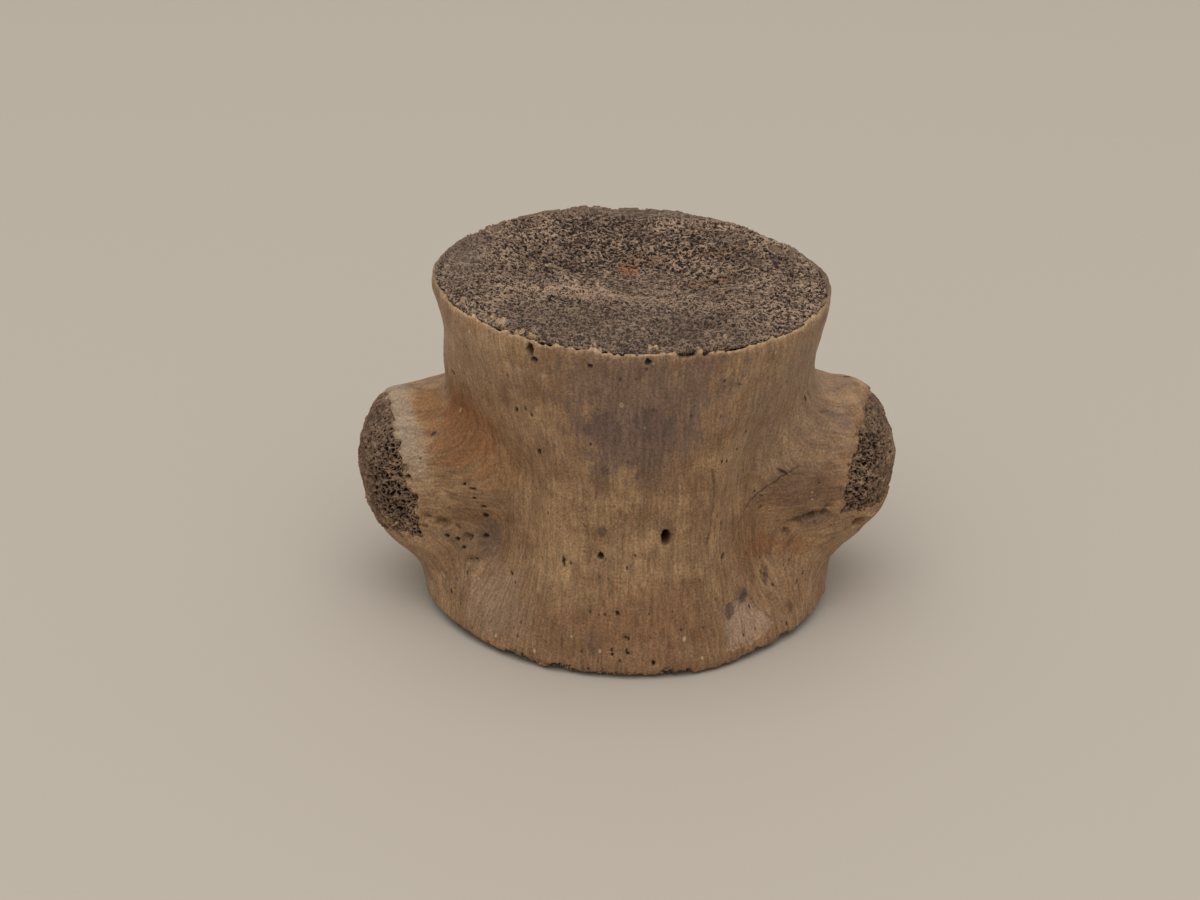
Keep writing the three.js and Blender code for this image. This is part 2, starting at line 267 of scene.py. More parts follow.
# The centrum
# The column and its two processes: a skin of compact bone, worn smooth, with fine fibres along it.
# It is laid on the form, pitted, cracked and flaked, and dips under the spongy patches that it borders.
# Each pit is x, y, z of its middle, then its half width, half height and depth, all in mm.
PITS = [
    (2.58, -10.73, 10.76, 0.36, 0.66, 1.5), (-1.87, -10.8, 9.3, 0.2, 0.3, 0.5),
    (-4.43, -10.07, 8.45, 0.11, 0.5, 0.25),
    (6.59, -8.59, 8.03, 0.2, 0.3, 0.4), (-0.66, -11.37, 5.07, 0.14, 0.2, 0.3),
    (-0.11, -11.65, 3.28, 0.12, 0.17, 0.3), (-1.07, -11.79, 1.97, 0.13, 0.16, 0.3),
    (0.03, -11.84, 2.09, 0.12, 0.15, 0.3), (1.8, -11.89, 1.38, 0.17, 0.2, 0.4),
    (-11.98, -5.02, 7.13, 0.17, 0.15, 0.3), (-10.19, -5.41, 7.32, 0.22, 0.15, 0.3),
    (-12.7, -4.74, 7.33, 0.2, 0.15, 0.3), (-11.38, -4.76, 11.51, 0.16, 0.12, 0.3),
    (-10.75, -4.91, 11.25, 0.3, 0.11, 0.25), (-10.04, -5.14, 9.79, 0.2, 0.12, 0.3),
    (-10.06, -5.21, 9.0, 0.2, 0.18, 0.3), (-10.7, -4.99, 10.49, 0.15, 0.12, 0.25),
    (-11.65, -5.19, 6.45, 0.15, 0.12, 0.25), (-8.22, -6.72, 5.49, 0.14, 0.18, 0.3),
    (-15.36, -3.87, 11.62, 0.22, 0.22, 0.4), (-7.54, -8.51, 19.34, 0.16, 0.24, 0.35),
    (-5.93, -9.16, 16.64, 0.14, 0.24, 0.3), (-11.77, -3.63, 19.76, 0.13, 0.22, 0.3),
    (-6.47, -10.43, 24.88, 0.26, 0.5, 0.7), (-6.2, -10.6, 24.2, 0.2, 0.3, 0.4),
    (3.8, -11.58, 25.17, 0.75, 0.35, 0.6), (5.0, -11.26, 25.08, 0.24, 0.35, 0.6),
    (1.25, -11.94, 24.7, 0.24, 0.28, 0.4), (-2.55, -11.74, 24.3, 0.2, 0.2, 0.3),
]
# Pits worn shallow, in the same numbers: the row of beads in the right groove and their like on the left
SHALLOW_PITS = [
    (11.32, -5.16, 7.59, 0.34, 0.42, 0.4), (12.14, -4.92, 8.55, 0.3, 0.42, 0.4),
    (12.6, -4.8, 8.75, 0.26, 0.36, 0.35), (13.03, -4.65, 8.84, 0.3, 0.4, 0.4),
    (13.91, -4.44, 9.0, 0.32, 0.3, 0.35), (14.1, -4.4, 9.5, 0.34, 0.22, 0.3),
    (9.84, -6.14, 5.05, 0.24, 0.55, 0.3), (-12.95, -4.6, 8.26, 0.6, 0.42, 0.5),
    (-11.33, -5.18, 7.27, 0.4, 0.34, 0.4), (-14.01, -4.35, 8.66, 0.34, 0.24, 0.3),
    (-14.32, -4.26, 7.87, 0.4, 0.16, 0.25), (-11.22, -5.46, 5.62, 0.22, 0.2, 0.3),
    (-10.79, -5.57, 5.69, 0.18, 0.2, 0.3), (16.4, -3.2, 7.6, 0.5, 0.4, 0.85),
]
SHALLOW_LIGHT = 0.65
# Broad hollows, in the same numbers: under each process, above the left one, and the right one's groove;
# the last three are raised: the lip under the right facet and the shoulders over both processes
HOLLOWS = [
    (-10.0, -5.6, 7.2, 2.4, 3.6, 0.75), (-11.3, -4.0, 15.0, 2.6, 3.0, 0.4),
    (-9.5, -5.7, 7.6, 1.1, 2.2, 0.35), (10.3, -5.6, 7.0, 2.4, 3.4, 0.7),
    (11.8, -5.0, 8.1, 1.0, 0.6, 0.35), (13.4, -4.6, 8.9, 1.1, 0.5, 0.35),
    (17.2, -3.2, 8.25, 0.55, 0.35, -0.5), (15.4, 0.0, 15.5, 1.7, 2.0, -0.5),
    (-11.8, -0.5, 19.0, 1.8, 2.6, -0.55),
]
CRACKS = [
    [(5.75, -9.74, 15.5), (5.9, -9.35, 13.1), (5.54, -9.54, 10.69), (5.42, -9.72, 9.6)],
    [(11.92, -4.71, 12.9), (9.99, -5.23, 11.76), (8.45, -5.87, 10.68), (7.26, -7.28, 8.53)],
]
HOLLOW_EDGE = 1.3
PIT_WALL = (1.1, 0.35)
PIT_SWAY = 0.28
PIT_RUFFLES_PER_MM = 3.0
CRACK_SWAY = 0.35
CRACK_BENDS_PER_MM = 1.5
FAR_OFF = 9.0
CRACK_HALF_WIDTH = 0.12
CRACK_DEPTH = 0.15
FLAKE_CORNERS = [(6.7, 4.64), (8.17, 4.61), (9.28, 3.3), (10.38, 1.97), (8.75, 1.2), (6.87, 1.4)]
FLAKE_FRONT = -6.5
FLAKE_DEPTH = 0.16
FLAKE_EDGE = (0.04, -0.06)
SWELLS = {"broad": (0.22, 0.35), "fine": (0.9, 0.07)}
SWELL_SPAN = (0.25, 0.75)
SKIN_DIP = 0.55
DIP_RUN = 0.4
CAP_SHARE = 0.78
CAP_SINK = {"top": -3.2 * MM, "bottom": 2.5 * MM}
CAP_DRAW_IN = 0.9

bone_marks = geometry_tree("bone_marks", Pit="NodeSocketFloat", Hollow="NodeSocketFloat",
                           Crack="NodeSocketFloat", Flake="NodeSocketFloat")
tree = bone_marks
place = place_in_mm(tree)
ruffle = add(tree, "ShaderNodeTexNoise", {"Vector": place, "Scale": PIT_RUFFLES_PER_MM, "Detail": 2.0},
             out="Color")
ruffle = add(tree, "ShaderNodeVectorMath", {0: ruffle, 1: (0.5, 0.5, 0.5)}, operation="SUBTRACT")
ruffled = add(tree, "ShaderNodeVectorMath", {0: ruffle, 1: (PIT_SWAY,) * 3, 2: place},
              operation="MULTIPLY_ADD")
hollow = 0.0
for *centre, wide, tall, deep in HOLLOWS:
    off = add(tree, "ShaderNodeVectorMath", {0: place, 1: centre}, operation="SUBTRACT")
    off = add(tree, "ShaderNodeVectorMath", {0: off, 1: (wide, 2 * max(wide, tall), tall)},
              operation="DIVIDE")
    off = add(tree, "ShaderNodeVectorMath", {0: off}, out="Value", operation="LENGTH")
    sunk = add(tree, "ShaderNodeMapRange", {0: off, 1: HOLLOW_EDGE, 2: 0.0, 3: 0.0, 4: deep},
               interpolation_type="SMOOTHSTEP")
    hollow = add(tree, "ShaderNodeMath", {0: hollow, 1: sunk}, operation="ADD")
pit = FAR_OFF
for *centre, wide, tall, deep in PITS + SHALLOW_PITS:
    off = add(tree, "ShaderNodeVectorMath", {0: ruffled, 1: centre}, operation="SUBTRACT")
    off = add(tree, "ShaderNodeVectorMath", {0: off, 1: (wide, 2 * max(wide, tall), tall)},
              operation="DIVIDE")
    off = add(tree, "ShaderNodeVectorMath", {0: off}, out="Value", operation="LENGTH")
    sunk = add(tree, "ShaderNodeMapRange", {0: off, 1: PIT_WALL[0], 2: PIT_WALL[1], 3: 0.0, 4: deep},
               interpolation_type="SMOOTHSTEP")
    hollow = add(tree, "ShaderNodeMath", {0: hollow, 1: sunk}, operation="ADD")
    lighter = SHALLOW_LIGHT if (*centre, wide, tall, deep) in SHALLOW_PITS else 0.0
    off = add(tree, "ShaderNodeMath", {0: off, 1: lighter}, operation="ADD")
    pit = add(tree, "ShaderNodeMath", {0: pit, 1: off}, operation="MINIMUM")
sway = add(tree, "ShaderNodeTexNoise", {"Vector": place, "Scale": CRACK_BENDS_PER_MM, "Detail": 3.0},
           out="Color")
sway = add(tree, "ShaderNodeVectorMath", {0: sway, 1: (0.5, 0.5, 0.5)}, operation="SUBTRACT")
swayed = add(tree, "ShaderNodeVectorMath", {0: sway, 1: (CRACK_SWAY,) * 3, 2: place},
             operation="MULTIPLY_ADD")
crack = FAR_OFF
for points in CRACKS:
    for start, end in zip(points, points[1:]):
        run = Vector(end) - Vector(start)
        off = add(tree, "ShaderNodeVectorMath", {0: swayed, 1: start}, operation="SUBTRACT")
        along = add(tree, "ShaderNodeVectorMath", {0: off, 1: run / run.length_squared}, out="Value",
                    operation="DOT_PRODUCT")
        along = add(tree, "ShaderNodeClamp", {0: along})
        nearest = add(tree, "ShaderNodeVectorMath", {0: run, "Scale": along}, operation="SCALE")
        off = add(tree, "ShaderNodeVectorMath", {0: off, 1: nearest}, out="Value", operation="DISTANCE")
        crack = add(tree, "ShaderNodeMath", {0: crack, 1: off}, operation="MINIMUM")
x, y, z = (add(tree, "ShaderNodeSeparateXYZ", {0: swayed}, out=axis) for axis in "XYZ")
flake = add(tree, "ShaderNodeMath", {0: y, 1: FLAKE_FRONT}, operation="SUBTRACT")
for start, end in zip(FLAKE_CORNERS, FLAKE_CORNERS[1:] + FLAKE_CORNERS[:1]):
    run = Vector(end) - Vector(start)
    outward = Vector((-run.y, 0, run.x)) / run.length
    corner = outward.dot(Vector((start[0], 0, start[1])))
    off = add(tree, "ShaderNodeVectorMath", {0: swayed, 1: outward}, out="Value", operation="DOT_PRODUCT")
    off = add(tree, "ShaderNodeMath", {0: off, 1: corner}, operation="SUBTRACT")
    flake = add(tree, "ShaderNodeMath", {0: flake, 1: off}, operation="MAXIMUM")
add(tree, "NodeGroupOutput", {"Pit": pit, "Hollow": hollow, "Crack": crack, "Flake": flake})

bpy.ops.object.select_all(action="DESELECT")
form.select_set(True)
bpy.context.view_layer.objects.active = form
bpy.ops.object.duplicate()
skin = bpy.context.object
skin.name = "centrum_skin"


def mark_bone(tree, bone, names):
    """Stores how far each point lies from the marks on the bone, under the marks' names."""
    group = add(tree, "GeometryNodeGroup", {}, node_tree=bone_marks).node
    for name in names:
        bone = add(tree, "GeometryNodeStoreNamedAttribute",
                   {"Geometry": bone, "Name": name, "Value": group.outputs[name.title()]},
                   data_type="FLOAT", domain="POINT")
    reach = add(tree, "GeometryNodeGroup", {}, node_tree=spongy_reach)
    bone = add(tree, "GeometryNodeStoreNamedAttribute", {"Geometry": bone, "Name": "reach", "Value": reach},
               data_type="FLOAT", domain="POINT")
    return bone, reach, group.outputs


marked = geometry_tree("marked_bone", Geometry="NodeSocketGeometry")
bone, reach, marks = mark_bone(marked, add(marked, "NodeGroupInput", {}), ["pit", "crack", "flake"])
add(marked, "NodeGroupOutput", {"Geometry": bone})
modify(skin, "NODES", node_group=marked)


def select_points(piece, chosen):
    """Selects a piece's vertices for which a list says so, and nothing else, and stays in edit mode."""
    bpy.ops.object.mode_set(mode="EDIT")
    bpy.ops.mesh.select_mode(type="VERT")
    bpy.ops.mesh.select_all(action="DESELECT")
    bpy.ops.object.mode_set(mode="OBJECT")
    piece.data.vertices.foreach_set("select", chosen)
    bpy.ops.object.mode_set(mode="EDIT")


def marks_on(piece, name):
    """A stored mark's value at each vertex of a piece."""
    return [mark.value for mark in piece.data.attributes[name].data]


# Finer mesh along the borders, and finest at pits, cracks and the flake
FINE = {"pit": 2.0, "crack": 0.45, "flake": 0.4, "border": 0.45}
fine = zip(marks_on(skin, "pit"), marks_on(skin, "crack"), marks_on(skin, "flake"))
select_points(skin, [pit < FINE["pit"] or crack < FINE["crack"] or abs(flake) < FINE["flake"]
                     for pit, crack, flake in fine])
bpy.ops.mesh.subdivide(number_cuts=2, quadcorner="INNERVERT")
bpy.ops.object.mode_set(mode="OBJECT")
select_points(skin, [abs(reach) < FINE["border"] for reach in marks_on(skin, "reach")])
bpy.ops.mesh.subdivide(number_cuts=1, quadcorner="INNERVERT")
bpy.ops.object.mode_set(mode="OBJECT")

worn = geometry_tree("worn_compact_bone", Geometry="NodeSocketGeometry")
tree = worn
bone, reach, marks = mark_bone(tree, add(tree, "NodeGroupInput", {}), ["pit", "crack", "flake"])
place = place_in_mm(tree)
lift = add(tree, "ShaderNodeMapRange", {0: reach, 1: 0.0, 2: DIP_RUN, 3: 0.0, 4: -SKIN_DIP},
           interpolation_type="SMOOTHSTEP")
for per_mm, height in SWELLS.values():
    swell = add(tree, "ShaderNodeTexNoise", {"Vector": place, "Scale": per_mm, "Detail": 2.0})
    swell = add(tree, "ShaderNodeMapRange", {0: swell, 1: SWELL_SPAN[0], 2: SWELL_SPAN[1],
                                             3: -height / 2, 4: height / 2}, clamp=False)
    lift = add(tree, "ShaderNodeMath", {0: lift, 1: swell}, operation="ADD")
lift = add(tree, "ShaderNodeMath", {0: lift, 1: marks["Hollow"]}, operation="SUBTRACT")
split = add(tree, "ShaderNodeMapRange", {0: marks["Crack"], 1: CRACK_HALF_WIDTH, 2: 0.0, 3: 0.0,
                                         4: CRACK_DEPTH})
lift = add(tree, "ShaderNodeMath", {0: lift, 1: split}, operation="SUBTRACT")
scar = add(tree, "ShaderNodeMapRange", {0: marks["Flake"], 1: FLAKE_EDGE[0], 2: FLAKE_EDGE[1], 3: 0.0,
                                        4: FLAKE_DEPTH})
lift = add(tree, "ShaderNodeMath", {0: lift, 1: scar}, operation="SUBTRACT")
lift = add(tree, "ShaderNodeMath", {0: lift, 1: MM}, operation="MULTIPLY")
normal = add(tree, "GeometryNodeInputNormal", {})
shift = add(tree, "ShaderNodeVectorMath", {0: normal, "Scale": lift}, operation="SCALE")
moved = add(tree, "GeometryNodeSetPosition", {"Geometry": bone, "Offset": shift})
add(tree, "NodeGroupOutput", {"Geometry": moved})
modify(skin, "NODES", node_group=worn)

TRIM_RINGS = 3


def keep_only(piece, wanted):
    """Trims a piece to the wanted points, without the slivers and loose bits along the cut."""
    select_points(piece, wanted)
    for ring in range(TRIM_RINGS):
        bpy.ops.mesh.select_less()
    for ring in range(TRIM_RINGS):
        bpy.ops.mesh.select_more()
    bpy.ops.mesh.select_all(action="INVERT")
    bpy.ops.mesh.delete(type="VERT")
    bpy.ops.mesh.select_all(action="DESELECT")
    bpy.ops.mesh.select_non_manifold(use_boundary=False, use_multi_face=False, use_non_contiguous=False)
    bpy.ops.mesh.delete(type="VERT")
    bpy.ops.mesh.select_all(action="SELECT")
    bpy.ops.mesh.delete_loose()
    bpy.ops.object.mode_set(mode="OBJECT")


# The skin has no ends of its own: each is cut out within the spongy face and closed deep under it
END_LEVELS = [level * MM for level in END_ZONES]
cap_sides = [side * CAP_SHARE * MM for side in END_MIDDLE["half sizes"][:2]]
keep_only(skin, [END_LEVELS[0] < vertex.co.z < END_LEVELS[1]
                 or (vertex.co.x / cap_sides[0]) ** 2 + (vertex.co.y / cap_sides[1]) ** 2 > 1
                 for vertex in skin.data.vertices])
for end, sink in CAP_SINK.items():
    bpy.ops.object.mode_set(mode="EDIT")
    bpy.ops.mesh.select_all(action="DESELECT")
    bpy.ops.mesh.select_non_manifold()
    bpy.ops.object.mode_set(mode="OBJECT")
    select_points(skin, [vertex.select and (vertex.co.z > END_LEVELS[1]) == (end == "top")
                         for vertex in skin.data.vertices])
    bpy.ops.mesh.extrude_region_move(TRANSFORM_OT_translate={"value": (0, 0, sink)})
    bpy.ops.transform.resize(value=(CAP_DRAW_IN, CAP_DRAW_IN, 1), center_override=(0, 0, 0))
    bpy.ops.mesh.edge_face_add()
    bpy.ops.object.mode_set(mode="OBJECT")


def face_outward(piece, outward):
    """Makes a closed piece's faces agree, and turns them all if the one furthest outward points in."""
    bpy.ops.object.mode_set(mode="EDIT")
    bpy.ops.mesh.select_all(action="SELECT")
    bpy.ops.mesh.normals_make_consistent(inside=False)
    bpy.ops.object.mode_set(mode="OBJECT")
    furthest = max(piece.data.polygons, key=lambda face: face.center.dot(outward))
    if furthest.normal.dot(outward) < 0:
        bpy.ops.object.mode_set(mode="EDIT")
        bpy.ops.mesh.flip_normals()
        bpy.ops.object.mode_set(mode="OBJECT")
    bpy.ops.object.shade_smooth()


face_outward(skin, Vector((0, -1, 0)))

# Compact bone, fossilised: a dense tan skin with brown fibres along it, stained grey, rust and cream by the
# ground. It is worn to a faint satin; its pits, pinholes and cracks are darkened to near-black painted
# shade.
# Each spot is its middle and half sizes in mm, its colour and its strength. Most are stains; the ones marked
# painted shade darken the hollows under the processes, the right groove and the lower front.
TAN = ("8A6749", "BA9670")
FLECK = "6B4C37"
# near-black painted shade inside the pits, pinholes and cracks
PAINTED_HOLE_SHADE = "21160F"
RIM_EDGE = "C6A681"
FAR_RIM_EDGE = "6E5C4E"
CREAM_MARGIN = "AE9880"
SCAR = "B59781"
SPECK = "D9C2A0"
PINHOLE_GAP = 0.5
SOFT_EDGE = (1.15, 0.55)
STAINS_AND_PAINTED_SHADE = [
    ((0.6, -11.5, 22.3), (7.2, 4.5, 3.4), "846A5A", 0.8),
    ((0.6, -11.0, 18.6), (4.8, 4.0, 3.0), "80675A", 0.85),
    ((-1.6, -11.0, 19.5), (1.2, 3.0, 1.6), "6A5348", 0.6),
    ((1.6, -11.2, 19.8), (1.4, 3.0, 1.6), "6A5348", 0.5),
    ((-1.9, -10.8, 15.4), (0.7, 3.0, 1.6), "6B5245", 0.6),
    ((1.5, -10.9, 16.0), (1.3, 3.0, 1.8), "705848", 0.5),
    ((-1.8, -10.7, 11.1), (0.5, 1.0, 0.5), "5A463B", 0.7),
    ((2.6, -10.8, 11.6), (0.7, 1.0, 1.0), "6E5646", 0.5),
    ((-11.3, -4.0, 15.3), (3.0, 3.4, 3.6), "945F36", 0.7),
    ((-9.0, -5.4, 13.2), (2.2, 2.4, 2.2), "A06C3E", 0.35),
    ((-14.3, -0.8, 15.6), (1.6, 2.2, 1.3), "946738", 0.75),
    # painted shade: grey-violet darkening deep in the hollow under the left process
    ((-9.8, -5.5, 7.4), (1.3, 1.5, 2.0), "786359", 0.7),
    # painted shade: the lower front of the column, darker towards the bottom
    ((0.0, -9.0, 2.0), (16.0, 8.0, 4.0), "886346", 0.5),
    ((-9.2, -7.2, 3.4), (3.4, 3.4, 2.8), "A0866F", 0.5),
    ((12.2, -4.8, 11.3), (3.3, 3.0, 2.0), "785640", 0.75),
    ((8.6, -6.5, 8.4), (1.8, 2.4, 3.4), "87603F", 0.55),
    # painted shade on this line and the next two: darkening in the hollow under the right process and its
    # groove
    ((9.6, -5.7, 7.0), (1.6, 1.6, 1.4), "8F6040", 0.65),
    ((13.0, -4.7, 8.7), (1.8, 1.5, 0.6), "6B5547", 0.6),
    ((11.8, -5.1, 6.7), (1.5, 1.5, 1.1), "8F6040", 0.6),
    ((-2.3, -11.5, 2.9), (0.7, 1.5, 1.1), "6E5A4E", 0.6),
    ((1.0, -11.6, 4.5), (4.5, 4.0, 3.2), "93694A", 0.5),
    ((-5.2, -9.7, 9.5), (2.2, 3.0, 4.5), "C09A72", 0.5),
    ((12.0, -6.0, 18.0), (6.0, 9.0, 7.0), "9C8471", 0.4),
    ((-10.5, -7.0, 22.5), (4.0, 5.0, 3.0), "B08F70", 0.45),
    # painted shade: a broad darkening over the hollow under the left process
    ((-10.8, -5.0, 7.0), (3.0, 3.0, 2.0), "84664C", 0.45),
]
TORN_SPOTS = [
    ((8.1, -8.1, 4.5), (0.35, 1.0, 0.6), "5B4A42", 0.8),
    ((7.1, -9.4, 4.0), (0.4, 1.0, 0.6), "66483A", 0.8),
    ((9.8, -6.1, 5.0), (0.3, 1.0, 0.8), "53392B", 0.75),
    ((11.5, -6.1, 2.5), (0.3, 1.0, 0.6), "53392B", 0.6),
]


def stained_and_shaded(tree, colour, place, ragged, spot_list):
    """Lays soft spots over a colour, of stain and of painted shade alike, whose edges follow a ragged noise.
    """
    for middle, half_sizes, hex_colour, strength in spot_list:
        off = add(tree, "ShaderNodeVectorMath", {0: place, 1: middle}, operation="SUBTRACT")
        off = add(tree, "ShaderNodeVectorMath", {0: off, 1: half_sizes}, operation="DIVIDE")
        off = add(tree, "ShaderNodeVectorMath", {0: off}, out="Value", operation="LENGTH")
        off = add(tree, "ShaderNodeMath", {0: off, 1: ragged}, operation="ADD")
        share = add(tree, "ShaderNodeMapRange", {0: off, 1: SOFT_EDGE[0], 2: SOFT_EDGE[1], 3: 0.0,
                                                 4: strength}, interpolation_type="SMOOTHSTEP")
        colour = add(tree, "ShaderNodeMix", {0: share, 1: colour, 2: linear(hex_colour)}, data_type="RGBA")
    return colour


compact_bone = bpy.data.materials.new("fossil_compact_bone")
compact_bone.use_nodes = True
tree = compact_bone.node_tree
shader = tree.nodes["Principled BSDF"]
place = add(tree, "ShaderNodeTexCoord", {}, out="Object")
place = add(tree, "ShaderNodeVectorMath", {0: place, "Scale": 1 / MM}, operation="SCALE")
x, y, z = (add(tree, "ShaderNodeSeparateXYZ", {0: place}, out=axis) for axis in "XYZ")
# Fibres run up the column and bend out along the processes: one number across them, one along them
COLUMN_RADIUS = 11
PROCESS_HEIGHT = 10.5
SHOULDER_ANGLE = math.radians(55)
BEND_ROUNDING = 0.3
LAYERS_PER_MM = {"up": 0.04, "back": 0.05}
aside = add(tree, "ShaderNodeMath", {0: x}, operation="ABSOLUTE")
forward = add(tree, "ShaderNodeMath", {0: y}, operation="ABSOLUTE")
turn = add(tree, "ShaderNodeMath", {0: aside, 1: forward}, operation="ARCTAN2")
turn = add(tree, "ShaderNodeMath", {0: turn, 1: SHOULDER_ANGLE}, operation="SUBTRACT")
out = add(tree, "ShaderNodeMath", {0: aside, 1: COLUMN_RADIUS}, operation="SUBTRACT")
out = add(tree, "ShaderNodeMath", {0: out, 1: 0.0}, operation="MAXIMUM")
out = add(tree, "ShaderNodeMath", {0: turn, 1: COLUMN_RADIUS, 2: out}, operation="MULTIPLY_ADD")
up = add(tree, "ShaderNodeMath", {0: z, 1: PROCESS_HEIGHT}, operation="SUBTRACT")
level = add(tree, "ShaderNodeMath", {0: up}, operation="ABSOLUTE")
outer = add(tree, "ShaderNodeMath", {0: out, 1: 0.0}, operation="MAXIMUM")
inner = add(tree, "ShaderNodeMath", {0: out, 1: 0.0}, operation="MINIMUM")
span = add(tree, "ShaderNodeCombineXYZ", {0: outer, 1: level, 2: BEND_ROUNDING})
span = add(tree, "ShaderNodeVectorMath", {0: span}, out="Value", operation="LENGTH")
across = add(tree, "ShaderNodeMath", {0: outer, 1: level}, operation="MULTIPLY")
across = add(tree, "ShaderNodeMath", {0: across, 1: span}, operation="DIVIDE")
across = add(tree, "ShaderNodeMath", {0: across, 1: inner}, operation="ADD")
side = add(tree, "ShaderNodeMath", {0: x}, operation="SIGN")
fibre_layer = add(tree, "ShaderNodeMath", {0: up, 1: LAYERS_PER_MM["up"], 2: side}, operation="MULTIPLY_ADD")
fibre_layer = add(tree, "ShaderNodeMath", {0: y, 1: LAYERS_PER_MM["back"], 2: fibre_layer},
                  operation="MULTIPLY_ADD")
fibre_place = add(tree, "ShaderNodeCombineXYZ", {0: across, 1: span, 2: fibre_layer})

# Sizes in mm along and across the fibres, and of the grain, the mottling and the broad patches
FIBRE = {"width": 0.22, "length": 2.2, "layers": 7.0, "detail": 4.0, "roughness": 0.65}
FLECKS = {"width": 0.5, "length": 1.6, "layers": 5.0, "detail": 5.0, "roughness": 0.7}
GRAINS = {"size": 0.16, "detail": 3.0, "roughness": 0.7}
MOTTLE = {"size": 1.3, "detail": 5.0, "roughness": 0.65}
PATCHES = {"size": 3.4, "detail": 4.0, "roughness": 0.5}
NOISE_MIDDLE = (0.35, 0.65)


def along_fibres(streak):
    """A streaky noise drawn out along the fibres of the bone."""
    sizes = (1 / streak["width"], 1 / streak["length"], streak["layers"])
    at = add(tree, "ShaderNodeVectorMath", {0: fibre_place, 1: sizes}, operation="MULTIPLY")
    return add(tree, "ShaderNodeTexNoise", {"Vector": at, "Scale": 1.0, "Detail": streak["detail"],
                                            "Roughness": streak["roughness"]})


fibres = along_fibres(FIBRE)
flecks = along_fibres(FLECKS)
grain, mottle, patches = (add(tree, "ShaderNodeTexNoise", {"Vector": place, "Scale": 1 / spots["size"],
                                                           "Detail": spots["detail"],
                                                           "Roughness": spots["roughness"]})
                          for spots in (GRAINS, MOTTLE, PATCHES))
patch_light = add(tree, "ShaderNodeMapRange", {0: patches, 1: NOISE_MIDDLE[0], 2: NOISE_MIDDLE[1]})
mottle_light = add(tree, "ShaderNodeMapRange", {0: mottle, 1: NOISE_MIDDLE[0], 2: NOISE_MIDDLE[1]})
tone = add(tree, "ShaderNodeMix", {0: 0.5, 1: mottle_light, 2: patch_light}, data_type="FLOAT")
colour = add(tree, "ShaderNodeMix", {0: tone, 1: linear(TAN[0]), 2: linear(TAN[1])}, data_type="RGBA")
FLECK_SPAN = (0.54, 0.7)
FLECK_STRENGTH = 0.55
STAIN_SWAY = 0.45
fleck_share = add(tree, "ShaderNodeMapRange", {0: flecks, 1: FLECK_SPAN[0], 2: FLECK_SPAN[1], 3: 0.0,
                                               4: FLECK_STRENGTH}, interpolation_type="SMOOTHSTEP")
colour = add(tree, "ShaderNodeMix", {0: fleck_share, 1: colour, 2: linear(FLECK)}, data_type="RGBA")
uneven = add(tree, "ShaderNodeMix", {0: 0.5, 1: flecks, 2: mottle}, data_type="FLOAT")
ragged = add(tree, "ShaderNodeMapRange", {0: uneven, 1: NOISE_MIDDLE[0], 2: NOISE_MIDDLE[1],
                                          3: STAIN_SWAY, 4: -STAIN_SWAY}, clamp=False)
colour = stained_and_shaded(tree, colour, place, ragged, STAINS_AND_PAINTED_SHADE)
# Bands of skin along its borders, by how near spongy bone is in mm: the upper rim, pale on the near side,
# and a cream margin beside the upper part of the left facet
RIM_BAND = {"span": (-1.7, -0.3), "strength": 0.7}
NEAR_SIDE = (-1.0, -6.0)
MARGIN_BAND = {"span": (-2.0, -0.9), "strength": 0.85}
MARGIN_LEFT = (-12.5, -14.0)
MARGIN_UPPER = (10.0, 13.0)
reach = add(tree, "ShaderNodeAttribute", {}, out="Fac", attribute_name="reach")
rim, margin = (add(tree, "ShaderNodeMapRange", {0: reach, 1: band["span"][0], 2: band["span"][1], 3: 0.0,
                                                4: band["strength"]}, interpolation_type="SMOOTHSTEP")
               for band in (RIM_BAND, MARGIN_BAND))
high = add(tree, "ShaderNodeMapRange", {0: z, 1: END_ZONES[1], 2: END_ZONES[1] + 1})
rim = add(tree, "ShaderNodeMath", {0: rim, 1: high}, operation="MULTIPLY")
near = add(tree, "ShaderNodeMapRange", {0: y, 1: NEAR_SIDE[0], 2: NEAR_SIDE[1]})
edge = add(tree, "ShaderNodeMix", {0: near, 1: linear(FAR_RIM_EDGE), 2: linear(RIM_EDGE)}, data_type="RGBA")
colour = add(tree, "ShaderNodeMix", {0: rim, 1: colour, 2: edge}, data_type="RGBA")
left = add(tree, "ShaderNodeMapRange", {0: x, 1: MARGIN_LEFT[0], 2: MARGIN_LEFT[1]})
margin = add(tree, "ShaderNodeMath", {0: margin, 1: left}, operation="MULTIPLY")
upper = add(tree, "ShaderNodeMapRange", {0: z, 1: MARGIN_UPPER[0], 2: MARGIN_UPPER[1]})
margin = add(tree, "ShaderNodeMath", {0: margin, 1: upper}, operation="MULTIPLY")
colour = add(tree, "ShaderNodeMix", {0: margin, 1: colour, 2: linear(CREAM_MARGIN)}, data_type="RGBA")
SCAR_EDGE = {"sway": 0.5, "span": (0.15, -0.3), "strength": 0.7}
FIBRE_LIGHT = (0.58, 1.12)
GRAIN_LIGHT = (0.6, 1.4)
flake = add(tree, "ShaderNodeAttribute", {}, out="Fac", attribute_name="flake")
scar = add(tree, "ShaderNodeMath", {0: ragged, 1: SCAR_EDGE["sway"], 2: flake}, operation="MULTIPLY_ADD")
scar = add(tree, "ShaderNodeMapRange", {0: scar, 1: SCAR_EDGE["span"][0], 2: SCAR_EDGE["span"][1], 3: 0.0,
                                        4: SCAR_EDGE["strength"]})
colour = add(tree, "ShaderNodeMix", {0: scar, 1: colour, 2: linear(SCAR)}, data_type="RGBA")
colour = stained_and_shaded(tree, colour, place, ragged, TORN_SPOTS)
